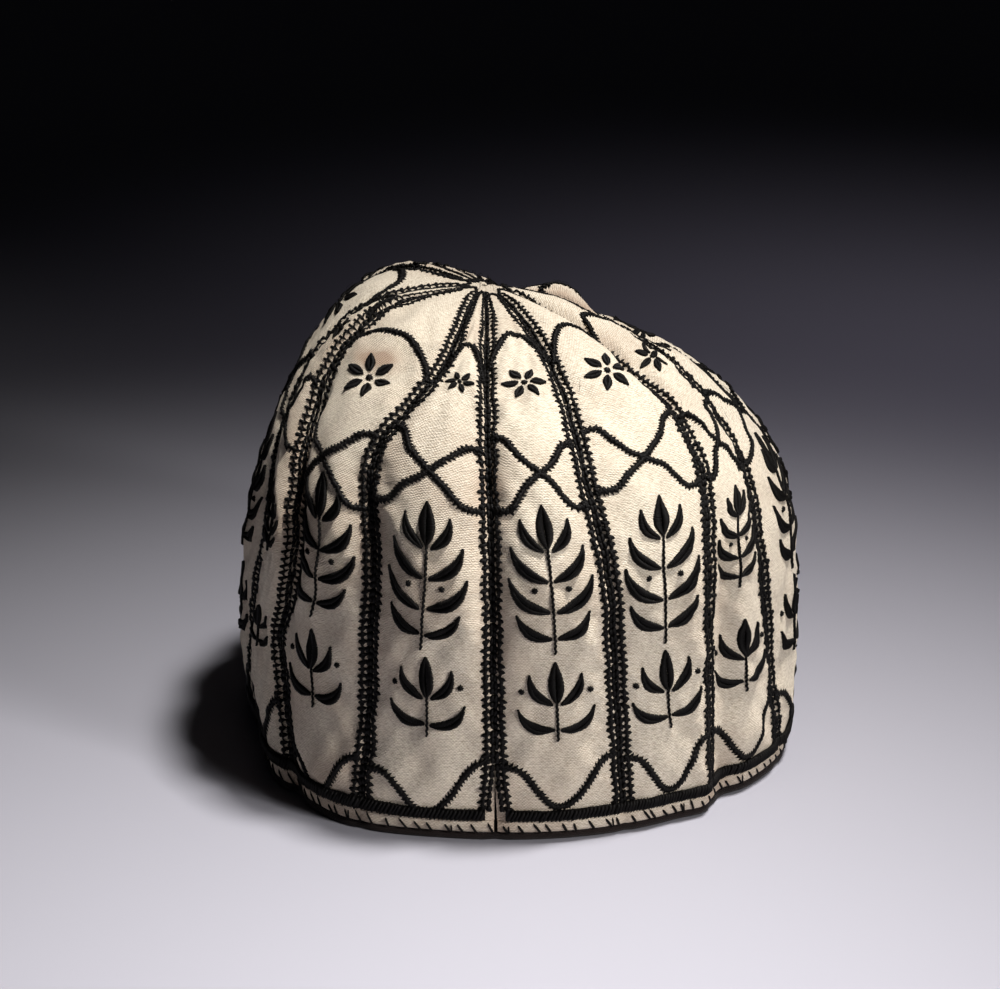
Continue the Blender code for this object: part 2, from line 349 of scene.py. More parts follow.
def cloth_wall(name, columns, heights, gore_at, outer, inner, finish):
    """A closed wall of cloth on the cap's form, with a cloth map in metres and its painted shade and
    darker marks.

    heights holds the rise of each row of its mesh. gore_at turns a column's share (0 to 1) and
    its rise into gores. outer and inner give the depths of its two faces for a rise.
    """
    mesh = bmesh.new()
    share = mesh.verts.layers.float.new("share")
    rise = mesh.verts.layers.float.new("rise")
    bmesh.ops.create_grid(mesh, x_segments=columns, y_segments=len(heights) - 1, size=0.5)
    for vert in mesh.verts:
        vert[share] = vert.co.x + 0.5
        vert[rise] = heights[round((vert.co.y + 0.5) * (len(heights) - 1))]

    def settle(verts, depth_at):
        shares = np.array([vert[share] for vert in verts])
        rises = np.array([vert[rise] for vert in verts])
        points = place(gore_at(shares, rises), rises, depth_at(rises))
        for vert, point in zip(verts, points):
            vert.co = point

    settle(list(mesh.verts), outer)
    bmesh.ops.remove_doubles(mesh, verts=mesh.verts, dist=WELD)
    grown = bmesh.ops.extrude_face_region(mesh, geom=mesh.faces[:], use_keep_orig=True)
    inside = [item for item in grown["geom"] if isinstance(item, bmesh.types.BMVert)]
    settle(inside, inner)
    bmesh.ops.recalc_face_normals(mesh, faces=mesh.faces)
    data = bpy.data.meshes.new(name)
    mesh.to_mesh(data)
    mesh.free()
    shares = read(data, "share")
    rises = read(data, "rise")
    gores = gore_at(shares, rises)
    if np.ptp(gores) > 1.5:
        # A ring that runs round the whole cap
        across = gores * RIM_GORE * MM
    else:
        across = (shares - 0.5) * gore_width(np.full_like(gores, gores.mean()), rises) * MM
    corner = np.empty(len(data.loops), dtype=np.int32)
    data.loops.foreach_get("vertex_index", corner)
    cloth_map = np.stack([across, rises * CLOTH_LENGTH], axis=-1)[corner]
    data.uv_layers.new(name="cloth").data.foreach_set("uv", cloth_map.ravel())
    part = gores - np.floor(gores)
    from_seam = np.minimum(part, 1.0 - part) * gore_width(gores, rises)
    # Painted shade by the seams and in creases, darker cloth towards the rim, and the listed patches
    soil_and_shade = SEAM_SHADE * np.exp(-((from_seam / SEAM_SHADE_REACH) ** 2))
    deep = creases(gores, rises, lambda depth: depth > 0)
    soil_and_shade += CREASE_SHADE * np.clip(deep, 0.0, CREASE_SHADE_DEEPEST)
    soil_and_shade += RIM_DARKENING * np.exp(-((rises / RIM_DARKENING_REACH) ** 2))
    for gore, rise, half_gore, half_rise, strength in DARKENED_PATCHES:
        away = (gores - gore + GORES / 2) % GORES - GORES / 2
        soil_and_shade += strength * np.exp(-((away / half_gore) ** 2) - ((rises - rise) / half_rise) ** 2)
    # Painted shade and darker marks, which the cloth's finish turns to its stain colour
    paint(data, "soil_and_shade", soil_and_shade)
    data.shade_smooth()
    data.set_sharp_from_angle(angle=math.radians(SHARP_DEG))
    data.materials.append(finish)
    return add_object(name, data)


def read(data, attribute):
    """A float attribute of a mesh's points as an array."""
    values = np.empty(len(data.vertices), dtype=np.float32)
    data.attributes[attribute].data.foreach_get("value", values)
    return values.astype(float)


def add_node(tree, kind, settings=None, **inputs):
    """A shader node with its settings and inputs; an input that is a socket is linked."""
    node = tree.nodes.new(kind)
    for key, value in (settings or {}).items():
        setattr(node, key, value)
    for key, value in inputs.items():
        socket = node.inputs[int(key[1:])] if key[0] == "i" and key[1:].isdigit() else node.inputs[key]
        if isinstance(value, bpy.types.NodeSocket):
            tree.links.new(value, socket)
        else:
            socket.default_value = value
    return node


def reckon(tree, operation, *values):
    """The output of a Math node."""
    named = {f"i{i}": value for i, value in enumerate(values)}
    return add_node(tree, "ShaderNodeMath", {"operation": operation}, **named).outputs[0]


def blend_colours(tree, share, first, second):
    """The colour output of a Mix node between two colours."""
    mix = add_node(tree, "ShaderNodeMix", {"data_type": "RGBA"}, i0=share, i6=first, i7=second)
    return mix.outputs[2]


# The weave's noises, with their scales in waves per metre: the yarns wander sideways by some of their
# own width, slubs thicken them, and clouds of soil lie over the cloth
WANDER_SCALE = 420.0
WANDER = 1.5
SLUB_SCALES = (700.0, 1700.0, 1.0)
CLOUD_SCALE = 38.0
WEAVE_BUMP = 0.3 * MM


def woven(name, light, dark, stain_and_shade, yarn, roughness, sheen):
    """Hand-woven cloth: a weft-faced plain weave of uneven yarns, yarn wide in metres, with painted
    shade between its yarns. It takes the stain colour in faint clouds and where the mesh's attribute
    of painted shade and darker marks says."""
    finish = bpy.data.materials.new(name)
    finish.use_nodes = True
    tree = finish.node_tree
    shader = tree.nodes["Principled BSDF"]
    shader.inputs["Roughness"].default_value = roughness
    shader.inputs["Sheen Weight"].default_value = sheen
    shader.inputs["Specular IOR Level"].default_value = 0.2
    cloth_map = add_node(tree, "ShaderNodeUVMap", {"uv_map": "cloth"}).outputs[0]
    solid_place = add_node(tree, "ShaderNodeTexCoord").outputs["Object"]
    noise = add_node(tree, "ShaderNodeTexNoise", {}, Vector=solid_place, Scale=WANDER_SCALE,
                     Detail=2.0)
    wander = reckon(tree, "MULTIPLY_ADD", noise.outputs["Fac"], WANDER, -WANDER / 2.0)
    apart = add_node(tree, "ShaderNodeSeparateXYZ", {}, Vector=cloth_map)
    across = reckon(tree, "MULTIPLY_ADD", apart.outputs[0], 1.0 / yarn, wander)
    up = reckon(tree, "MULTIPLY_ADD", apart.outputs[1], 1.0 / yarn, wander)
    row = reckon(tree, "FLOOR", up)
    weft = reckon(tree, "ABSOLUTE", reckon(tree, "SINE", reckon(tree, "MULTIPLY", up, math.pi)))
    turned = reckon(tree, "MULTIPLY", reckon(tree, "ADD", across, row), math.pi)
    over = reckon(tree, "MULTIPLY_ADD", reckon(tree, "SINE", turned), 0.3, 0.7)
    height = reckon(tree, "MULTIPLY", weft, over)
    stretched = add_node(tree, "ShaderNodeMapping", {}, Vector=cloth_map, Scale=SLUB_SCALES)
    slubs = add_node(tree, "ShaderNodeTexNoise", {}, Vector=stretched.outputs[0], Scale=1.0,
                     Detail=3.0).outputs["Fac"]
    clouds = add_node(tree, "ShaderNodeTexNoise", {}, Vector=solid_place, Scale=CLOUD_SCALE,
                      Detail=4.0, Roughness=0.6).outputs["Fac"]
    soil_and_shade = add_node(tree, "ShaderNodeAttribute", {"attribute_name": "soil_and_shade"}).outputs["Fac"]
    # Led by the mesh's attribute, the stain colour is mostly painted shade; the clouds alone add faint
    # stain
    patchy = reckon(tree, "MULTIPLY", soil_and_shade, reckon(tree, "MULTIPLY_ADD", clouds, 2.6, -0.5))
    cloudy = reckon(tree, "MULTIPLY_ADD", clouds, 1.1, -0.52)
    stain_and_shade_share = reckon(tree, "MAXIMUM", reckon(tree, "ADD", patchy, cloudy), 0.0)
    stain_and_shade_share = reckon(tree, "MINIMUM", stain_and_shade_share, 1.0)
    # Painted shade: the yarns' crests are painted lighter and the gaps between them darker
    lit = reckon(tree, "MULTIPLY_ADD", height, 0.8, 0.17)
    lit = reckon(tree, "ADD", lit, reckon(tree, "MULTIPLY_ADD", slubs, 2.2, -1.0))
    lit = reckon(tree, "MAXIMUM", reckon(tree, "MINIMUM", lit, 1.0), 0.0)
    clean = blend_colours(tree, lit, (*dark, 1.0), (*light, 1.0))
    colour = blend_colours(tree, stain_and_shade_share, clean, (*stain_and_shade, 1.0))
    tree.links.new(colour, shader.inputs["Base Color"])
    raised = reckon(tree, "MULTIPLY_ADD", slubs, 0.6, height)
    bump = add_node(tree, "ShaderNodeBump", {}, Strength=0.8, Distance=WEAVE_BUMP, Height=raised)
    tree.links.new(bump.outputs[0], shader.inputs["Normal"])
    return finish


GORE_COLUMNS = 24
GORE_ROWS = 118
# A gore is cut 35 to 45 mm wide and about 205 mm long, and tapers to nothing at the crown
# Neighbouring gores keep twice this gap, in mm
GORE_CLEAR = 0.01
# The front seam is left open at the rim: half its width in gores, and how far up it closes
SLIT_HALF = 0.45 / 35.0
SLIT_RISE = 0.13

# The dark colour is painted shade between the yarns, and the stain colour is painted shade as well as
# stain
cream = woven("cream weave", light=(0.86, 0.775, 0.64), dark=(0.50, 0.41, 0.30),
              stain_and_shade=(0.44, 0.32, 0.235), yarn=0.50 * MM, roughness=0.92, sheen=0.12)
gore_pieces = []
for number in range(GORES):
    def gore_at(shares, rises, start=float(number)):
        clear = GORE_CLEAR / gore_width(np.full_like(rises, start), rises)
        slit = SLIT_HALF * smooth((SLIT_RISE - rises) / SLIT_RISE)
        low = clear + (slit if start == 0 else 0.0)
        high = clear + (slit if start == GORES - 1 else 0.0)
        return start + low + shares * (1.0 - low - high)

    rows = np.linspace(BRAID_BOTTOM / CLOTH_LENGTH, CROWN_END_RISE, GORE_ROWS + 1)
    piece = cloth_wall(f"gore_{number + 1:02d}_cloth", GORE_COLUMNS, rows, gore_at, level(0.0),
                       level(-CLOTH), cream)
    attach(piece, "root")
    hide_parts(f"gore_{number + 1:02d}")
    gore_pieces.append(piece)


# Lining
# The inner cap of dark brown cotton. It follows the gores all over, and its lower edge is rolled out
# under the hem, where it shows as a thin dark rim.

LINING_BACK = -2.0 * MM
LINING = 1.0 * MM
LINING_COLUMNS = 12
LINING_ROWS = 60
LINING_ROWS_FROM = 0.02
# The rolled lower edge: height above the floor and depth, in mm
LIP = ((0.0, -0.45), (0.35, 0.15), (1.0, 0.35), (1.8, 0.2), (2.4, -0.6), (2.8, -2.0))

# As on the cream cloth, the dark colour is painted shade between the yarns and the stain colour is
# painted shade as well as stain
brown = woven("brown cotton", light=(0.020, 0.011, 0.010), dark=(0.008, 0.005, 0.004),
              stain_and_shade=(0.008, 0.005, 0.004), yarn=0.45 * MM, roughness=0.85, sheen=0.1)
lip_rises = [z * MM / CLOTH_LENGTH for z, depth in LIP]
lining_rows = [*lip_rises, *np.linspace(LINING_ROWS_FROM, 1.0, LINING_ROWS)]


def lining_face(rises):
    """The depth of the lining's outer face."""
    return np.interp(rises, lip_rises, [depth * MM for z, depth in LIP])


lining = cloth_wall("lining_cloth", GORES * LINING_COLUMNS, lining_rows,
                    lambda shares, rises: shares * GORES, lining_face,
                    level(LINING_BACK - LINING), brown)
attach(lining, "root")
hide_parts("lining")


# Hem binding
# A strip of the cream cloth folded over the raw edge of the gores, open at the front seam, and held
# by the whip stitches further below.

HEM_BOTTOM = 2.6 * MM
HEM_TOP = 6.6 * MM
HEM_PROUD = 0.45 * MM
HEM_ROUND = 0.55 * MM
# How far the hem stays from the front seam on each side
HEM_GAP = 0.5 * MM
HEM_COLUMNS = 560
HEM_ROWS = 6


def hem_face(rises):
    """The depth of the hem's outer face, rounded off towards both edges."""
    middle = (HEM_BOTTOM + HEM_TOP) / 2 / CLOTH_LENGTH
    half = (HEM_TOP - HEM_BOTTOM) / 2 / CLOTH_LENGTH
    return HEM_PROUD - HEM_ROUND * ((rises - middle) / half) ** 4


def rim_round(opening):
    """Columns all the way round, with an opening in metres at the front seam."""
    gap = opening / 2 / (RIM_GORE * MM)
    return lambda shares, rises: gap + shares * (GORES - 2 * gap)


hem_rows = np.linspace(HEM_BOTTOM, HEM_TOP, HEM_ROWS + 1) / CLOTH_LENGTH
hem = cloth_wall("hem_cloth", HEM_COLUMNS, hem_rows, rim_round(2 * HEM_GAP), hem_face, level(-CLOTH),
                 cream)
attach(hem, "root")
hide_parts("hem_binding")
for number, piece in enumerate(gore_pieces):
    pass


# Rim braid
# A black wool braid sewn round the cap above the hem: thick slanted stitches like a rope's strands
# over a narrow strip. It is open at the front seam.

BRAID_FOOT = 6.9 * MM
BRAID_HEAD = 10.1 * MM
BRAID_OPENING = 5.4 * MM
BRAID_PROUD = 0.9 * MM
BRAID_BACK = 0.05 * MM
BRAID_COLUMNS = 448
BRAID_ROWS = 3
# Its strands, in mm: pitch and lean along the rim, heights of both ends, width and lift, and the
# depth they are sewn at
STRAND_PITCH = 1.08
STRAND_LEAN = 1.9
STRAND_FOOT = 6.2
STRAND_HEAD = 10.7
STRAND_WIDTH = 1.35
STRAND_LIFT = 1.15
STRAND_BASE = 0.65


FIBRE_SCALE = 5200.0
FIBRE_BUMP = 0.12 * MM


def wool(name, light, dark, roughness):
    """Twisted black yarn with a low sheen. Each stitch has its own shade, and fine fibres."""
    finish = bpy.data.materials.new(name)
    finish.use_nodes = True
    tree = finish.node_tree
    shader = tree.nodes["Principled BSDF"]
    shader.inputs["Roughness"].default_value = roughness
    shader.inputs["Specular IOR Level"].default_value = 0.12
    solid_place = add_node(tree, "ShaderNodeTexCoord").outputs["Object"]
    fibres = add_node(tree, "ShaderNodeTexNoise", {}, Vector=solid_place, Scale=FIBRE_SCALE,
                      Detail=3.0)
    shade = add_node(tree, "ShaderNodeAttribute", {"attribute_name": "shade"}).outputs["Fac"]
    mixed = reckon(tree, "ADD", reckon(tree, "MULTIPLY", shade, 0.6),
                   reckon(tree, "MULTIPLY_ADD", fibres.outputs["Fac"], 1.2, -0.4))
    mixed = reckon(tree, "MAXIMUM", reckon(tree, "MINIMUM", mixed, 1.0), 0.0)
    colour = blend_colours(tree, mixed, (*dark, 1.0), (*light, 1.0))
    tree.links.new(colour, shader.inputs["Base Color"])
    bump = add_node(tree, "ShaderNodeBump", {}, Strength=0.5, Distance=FIBRE_BUMP,
                    Height=fibres.outputs["Fac"])
    tree.links.new(bump.outputs[0], shader.inputs["Normal"])
    return finish


def stitch(gore_a, rise_a, gore_b, rise_b, width, lift):
    """Rows of stitches: both ends in gores and rises, the yarn's width and its height in mm."""
    return np.stack(np.broadcast_arrays(gore_a, rise_a, gore_b, rise_b, width, lift), axis=-1)


def grain():
    """The unit stitch: a spindle of sixteen triangles from -1 to 1 along Z."""
    mesh = bmesh.new()
    bmesh.ops.create_uvsphere(mesh, u_segments=4, v_segments=3, radius=1.0)
    bmesh.ops.triangulate(mesh, faces=mesh.faces)
    bmesh.ops.recalc_face_normals(mesh, faces=mesh.faces)
    points = np.array([vert.co[:] for vert in mesh.verts])
    faces = np.array([[vert.index for vert in face.verts] for face in mesh.faces])
    mesh.free()
    return points, faces


GRAIN_POINTS, GRAIN_FACES = grain()
# The unit stitch is this thick from its middle line
GRAIN_RADIUS = 0.866
# How far in mm the ends of a stitch dive into the cloth, and the share of its lift at which the
# middle of its line lies
STITCH_SINK = 0.12
STITCH_CREST = 0.55


def sew(name, stitches, finish, base=0.0, thread=None):
    """One piece of many stitches, each a spindle that arches over the cloth from end to end.
    base is the depth in mm of what they are sewn on. A stitch is as thick as it is high, unless
    it is a thread of its own thickness in mm."""
    rows = np.concatenate([np.atleast_2d(part) for part in stitches])
    gore_a, rise_a, gore_b, rise_b, width, lift = rows.T
    rise_a = np.clip(rise_a, 0.0, 0.999)
    rise_b = np.clip(rise_b, 0.0, 0.999)
    start = place(gore_a, rise_a, np.full_like(lift, (base - STITCH_SINK) * MM))
    end = place(gore_b, rise_b, np.full_like(lift, (base - STITCH_SINK) * MM))
    middle_gore = (gore_a + gore_b) / 2
    middle_rise = (rise_a + rise_b) / 2
    floor_point = place(middle_gore, middle_rise, np.full_like(lift, base * MM))
    top_point = place(middle_gore, middle_rise, (base + lift) * MM)
    out = top_point - floor_point
    out /= np.maximum(np.linalg.norm(out, axis=1, keepdims=True), 1e-9)
    along = end - start
    length = np.maximum(np.linalg.norm(along, axis=1, keepdims=True), 1e-9)
    side = np.cross(along / length, out)
    side /= np.maximum(np.linalg.norm(side, axis=1, keepdims=True), 1e-9)
    crest = floor_point + out * (lift * STITCH_CREST * MM)[:, None]
    bend = 2.0 * crest - (start + end) / 2.0
    t = ((GRAIN_POINTS[:, 2] + 1.0) / 2.0)[None, :, None]
    line = (1 - t) ** 2 * start[:, None] + 2 * t * (1 - t) * bend[:, None] + t**2 * end[:, None]
    half = (width / 2 * MM / GRAIN_RADIUS)[:, None, None]
    thick = lift if thread is None else np.full_like(lift, thread)
    tall = (thick / 2 * MM / GRAIN_RADIUS)[:, None, None]
    points = (line + side[:, None] * GRAIN_POINTS[None, :, 0:1] * half
              + out[:, None] * GRAIN_POINTS[None, :, 1:2] * tall)
    faces = GRAIN_FACES[None] + len(GRAIN_POINTS) * np.arange(len(rows))[:, None, None]
    data = bpy.data.meshes.new(name)
    data.from_pydata(points.reshape(-1, 3), [], faces.reshape(-1, 3))
    paint(data, "shade", np.repeat(chance.uniform(0.0, 1.0, len(rows)), len(GRAIN_POINTS)))
    data.shade_smooth()
    data.materials.append(finish)
    piece = add_object(name, data)
    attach(piece, "root")


black = wool("black wool", light=(0.0052, 0.0042, 0.0040), dark=(0.0009, 0.0007, 0.0007),
             roughness=0.55)
braid_rows = np.linspace(BRAID_FOOT, BRAID_HEAD, BRAID_ROWS + 1) / CLOTH_LENGTH
braid_strip = cloth_wall("braid_strip", BRAID_COLUMNS, braid_rows, rim_round(BRAID_OPENING),
                         level(BRAID_PROUD), level(BRAID_BACK), black)
paint(braid_strip.data, "shade", np.zeros(len(braid_strip.data.vertices)))
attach(braid_strip, "root")
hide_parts("rim_braid")

half_opening = BRAID_OPENING / MM / 2 / RIM_GORE
strand_count = int((GORES - 2 * half_opening) * RIM_GORE / STRAND_PITCH)
foot = half_opening + (np.arange(strand_count) + 0.2) * STRAND_PITCH / RIM_GORE
foot += chance.normal(0.0, 0.08, strand_count) / RIM_GORE
foot_rise = (STRAND_FOOT + chance.normal(0.0, 0.12, strand_count)) * MM / CLOTH_LENGTH
head_rise = (STRAND_HEAD + chance.normal(0.0, 0.14, strand_count)) * MM / CLOTH_LENGTH
head = np.minimum(foot + STRAND_LEAN / RIM_GORE, GORES - half_opening)
strand_width = STRAND_WIDTH + chance.normal(0.0, 0.08, strand_count)
strands = stitch(foot, foot_rise, head, head_rise, strand_width, STRAND_LIFT)
sew("braid_strands", [strands], black, base=STRAND_BASE)


# Seam bands
# Each seam is covered by two bands of black feather stitch, one on each side: a rope of crossed
# stitches beside the seam, arms that end in thorns, and a zigzag line that closes small diamonds.

BAND_PITCH = 2.25
BAND_START = 0.05
BAND_END = 0.962
BAND_END_SHAKE = 0.006
# The first repeat's height above the band's start in mm, how far each band slides, and how unevenly
# its repeats follow each other
BAND_FIRST = 0.8
BAND_SLIDE = 0.4
BAND_UNEVEN = 0.10
# The stitches of one repeat, in mm. Columns: where each begins, out from the seam and up it, where it
# ends, its width and its lift.
BAND_REPEAT = (
    (0.20, -1.45, 0.95, 1.30, 1.10, 0.70),
    (1.05, -1.45, 0.25, 1.30, 1.05, 0.62),
    (0.75, 0.50, 4.40, -0.60, 1.00, 0.50),
    (2.05, 0.50, 3.10, -1.45, 1.00, 0.62),
    (3.00, -0.75, 2.05, -2.35, 0.95, 0.55),
)
# The stitches are drawn tighter together low down, where their yarn looks this much wider
BAND_TIGHT = 0.26
BAND_TIGHT_RISES = (0.50, 0.78)
BAND_REACH = 4.15
# Near the crown a band takes no more than this share of its gore's width, and its yarn keeps at
# least this share of its thickness
BAND_SHARE = 0.44
BAND_LEAST = 0.45
# At the front seam the bands part below this rise to leave a cream strip on each side of the slit
PARTING = 2.0
PARTING_RISE = 0.16
BAND_SHAKE = 0.15
# How far from a seam the cloth is measured, in gores
SIDE_REACH = 0.34


def length_out(seam, side, rows=81, steps=15):
    """Rises, and the lengths in mm across the cloth from a seam to even steps of gores beside it."""
    rises, offsets = np.meshgrid(np.linspace(0.0, 1.0, rows), np.linspace(0.0, SIDE_REACH, steps),
                                 indexing="ij")
    points = place(seam + side * offsets, rises, np.zeros_like(rises)) / MM
    across = np.linalg.norm(np.diff(points, axis=1), axis=2)
    return rises[:, 0], offsets[0], np.hstack([np.zeros((rows, 1)), np.cumsum(across, axis=1)])


def gores_out(measured, rise, out_mm):
    """The gores from the seam at which the cloth has run out_mm across, at each rise."""
    rises, offsets, lengths = measured
    row = rise * (len(rises) - 1)
    low = np.minimum(row.astype(int), len(rises) - 2)
    t = (row - low)[:, None]
    table = lengths[low] * (1.0 - t) + lengths[low + 1] * t
    return np.array([np.interp(out, line, offsets) for out, line in zip(out_mm, table)])


for seam in range(GORES):
    rises, lengths = length_up(float(seam))
    tables = []
    for side in (-1, 1):
        panel = (seam if side > 0 else seam - 1) + 0.5
        measured = length_out(seam, side)
        low = np.interp(BAND_START, rises, lengths)
        high = np.interp(BAND_END + chance.normal(0.0, BAND_END_SHAKE), rises, lengths)
        base = np.arange(low + BAND_FIRST, high, BAND_PITCH)
        base += (chance.uniform(-BAND_SLIDE, BAND_SLIDE)
                 + chance.normal(0.0, BAND_UNEVEN, len(base)))
        for out_a, up_a, out_b, up_b, width, lift in BAND_REPEAT:
            ends = []
            for out, up in ((out_a, up_a), (out_b, up_b)):
                up_mm = base + up + chance.normal(0.0, BAND_SHAKE, len(base))
                rise = np.interp(up_mm, lengths, rises)
                width_here = gore_width(np.full_like(rise, panel), rise)
                room = np.minimum(1.0, BAND_SHARE * width_here / BAND_REACH)
                out_mm = (out + chance.normal(0.0, BAND_SHAKE, len(base))) * room
                if seam == 0:
                    out_mm += PARTING * smooth((PARTING_RISE - rise) / PARTING_RISE)
                out_gores = gores_out(measured, rise, np.maximum(out_mm, 0.05))
                ends.append((seam + side * out_gores, rise))
            thick = width * np.minimum(1.0, BAND_LEAST + (1.0 - BAND_LEAST) * room)
            tight_end, loose_start = BAND_TIGHT_RISES
            loose = smooth((rise - tight_end) / (loose_start - tight_end))
            thick = thick * (1.0 + chance.normal(0.0, 0.10, len(base)) + BAND_TIGHT * (1.0 - loose))
            tables.append(stitch(*ends[0], *ends[1], thick, lift * thick / width))
    sew(f"seam_band_{seam + 1:02d}", tables, black)


# Wavy lines
# Thick lines of black stitches cross every gore, with small teeth along both edges: two that cross
# each other at the brow, a scalloped one above the rim, and a low arch near the crown. A last line
# joins the gore's two bands at its tip.

LINE_PITCH = 0.74
LINE_WIDTH = 1.95
LINE_LIFT = 0.85
# A line ends this share of the way from the gore's middle to its seams
LINE_SPAN = 0.93
LINE_STEPS = 160
LINE_TEETH_PITCH = 1.35
LINE_TEETH_REACH = 1.75
LINE_TEETH_WIDTH = 1.0
LINE_TEETH_LIFT = 0.6
LINE_TEETH_HALF = 0.65
# How far in rise the lines bow, tilt and ripple by chance
LINE_SHAKE = 0.004
RIPPLE = 0.0022
RIPPLE_SPEED = 7.0
# The last line: the rise of its middle and how far it strays, how much lower its ends are, its
# width and lift in mm, and its share of the gore's width
TIP_RISE = 0.974
TIP_SHAKE = 0.006
TIP_DROP = 0.028
TIP_WIDTH = 1.25
TIP_LIFT = 0.7
TIP_SPAN = 0.86
# Columns: share of the gore's width from its middle (-1 and 1 are its seams), and rise
CROSS_LINE = ((-1.0, 0.642), (-0.86, 0.643), (-0.66, 0.640), (-0.36, 0.612), (0.0, 0.588),
              (0.34, 0.567), (0.62, 0.538), (0.82, 0.534), (1.0, 0.537))
SCALLOP = ((-1.0, 0.124), (-0.80, 0.123), (-0.60, 0.114), (-0.38, 0.086), (-0.17, 0.062),
           (0.0, 0.056), (0.17, 0.061), (0.38, 0.080), (0.58, 0.107), (0.72, 0.123), (0.86, 0.131),
           (1.0, 0.131))
ARCH = ((-1.0, 0.785), (-0.84, 0.812), (-0.6, 0.836), (-0.3, 0.849), (0.0, 0.853), (0.3, 0.848),
        (0.6, 0.835), (0.84, 0.810), (1.0, 0.785))
# How far the lines stray from these rises on some gores. Columns: gore, the crossing lines, the
# arch, the scallop's left end, its right end.
STRAYS = (
    (14, -0.033, -0.070, -0.022, -0.024),
    (15, -0.018, -0.030, -0.026, 0.0),
    (0, -0.008, 0.0, 0.0, 0.0),
    (1, 0.012, -0.012, 0.0, 0.0),
    (3, 0.0, 0.055, 0.0, 0.0),
)


def through(points, count):
    """A smooth curve through points, as count rows."""
    knots = np.array([points[0], *points, points[-1]], dtype=float)
    place_along = np.linspace(0.0, len(points) - 1.0001, count)
    low = place_along.astype(int)
    t = (place_along - low)[:, None]
    before, start, end, after = (knots[low + k] for k in range(4))
    return 0.5 * (2 * start + (end - before) * t + (2 * before - 5 * start + 4 * end - after) * t**2
                  + (3 * start - before - 3 * end + after) * t**3)


def metric(gore, rise):
    """Millimetres of cloth for one gore sideways and for one rise upwards, at a place."""
    still = np.zeros_like(rise)
    step = 0.02
    sideways = place(gore + step, rise, still) - place(gore - step, rise, still)
    upward = place(gore, rise + step, still) - place(gore, rise - step, still)
    return (np.linalg.norm(sideways, axis=-1) / (2 * step) / MM,
            np.linalg.norm(upward, axis=-1) / (2 * step) / MM)


def rope(gore, rise, pitch, width, lift, lean=0.30, half=1.25, slant=None):
    """Stitches of a rope along a line: short slanted spindles that lean to either side by turns, or
    with a slant all to one side. A stitch is half times the pitch long on each side of its middle."""
    wide, high = metric(gore, rise)
    steps = np.hypot(np.diff(gore) * (wide[1:] + wide[:-1]) / 2,
                     np.diff(rise) * (high[1:] + high[:-1]) / 2)
    lengths = np.concatenate([[0.0], np.cumsum(steps)])
    at = np.arange(pitch / 2, lengths[-1], pitch)
    turn = np.where(np.arange(len(at)) % 2 == 0, 1.0, -1.0)
    if slant is not None:
        turn = np.full(len(at), slant)
    ends = []
    for way in (-1.0, 1.0):
        s = at + way * pitch * half
        g = np.interp(s, lengths, gore)
        r = np.interp(s, lengths, rise)
        ahead_x = (np.interp(s + 0.5, lengths, gore) - np.interp(s - 0.5, lengths, gore))
        ahead_x *= np.interp(s, lengths, wide)
        ahead_y = (np.interp(s + 0.5, lengths, rise) - np.interp(s - 0.5, lengths, rise))
        ahead_y *= np.interp(s, lengths, high)
        size = np.maximum(np.hypot(ahead_x, ahead_y), 1e-6)
        aside = (way * turn * lean + chance.normal(0.0, 0.10, len(at))) * width
        ends.append((g - ahead_y / size * aside / np.interp(s, lengths, wide),
                     r + ahead_x / size * aside / np.interp(s, lengths, high)))
    return stitch(*ends[0], *ends[1], width * 0.78 * (1 + chance.normal(0.0, 0.08, len(at))), lift)


for number in range(GORES):
    tables = []
    for mirrored, line in ((1, CROSS_LINE), (-1, CROSS_LINE), (1, SCALLOP), (1, ARCH)):
        course = through(line, LINE_STEPS)
        share = mirrored * course[:, 0] * LINE_SPAN
        bow = chance.normal(0.0, LINE_SHAKE)
        tilt = chance.normal(0.0, LINE_SHAKE)
        rise = course[:, 1] + bow + tilt * course[:, 0]
        rise += RIPPLE * np.sin(course[:, 0] * RIPPLE_SPEED + chance.uniform(0.0, 6.0))
        if line is SCALLOP:
            rise = course[:, 1] + 0.5 * tilt * course[:, 0]
        for gore, cross, arch, low, high in STRAYS:
            if gore == number and line is SCALLOP:
                rise += low + (high - low) * (course[:, 0] + 1.0) / 2.0
            elif gore == number:
                rise += arch if line is ARCH else cross
        across = number + 0.5 + share / 2
        tables.append(rope(across, rise, LINE_PITCH, LINE_WIDTH, LINE_LIFT))
        tables.append(rope(across, rise, LINE_TEETH_PITCH, LINE_TEETH_WIDTH, LINE_TEETH_LIFT,
                           lean=LINE_TEETH_REACH, half=LINE_TEETH_HALF, slant=float(mirrored)))
    tip_share = np.linspace(-TIP_SPAN, TIP_SPAN, 40)
    tip_rise = TIP_RISE + chance.normal(0.0, TIP_SHAKE) - TIP_DROP * tip_share**2
    tables.append(rope(number + 0.5 + tip_share / 2, tip_rise, LINE_PITCH, TIP_WIDTH, TIP_LIFT))
    sew(f"wavy_lines_{number + 1:02d}", tables, black)


# Plant motifs
# Three motifs in raised black satin stitch fill every gore: a small open flower near the crown, a
# tall sprig with paired leaves on the wall, and a bud between two leaves above the scallop.

SATIN_PITCH = 0.46
SATIN_WIDTH = 0.78
SATIN_LIFT = 0.95
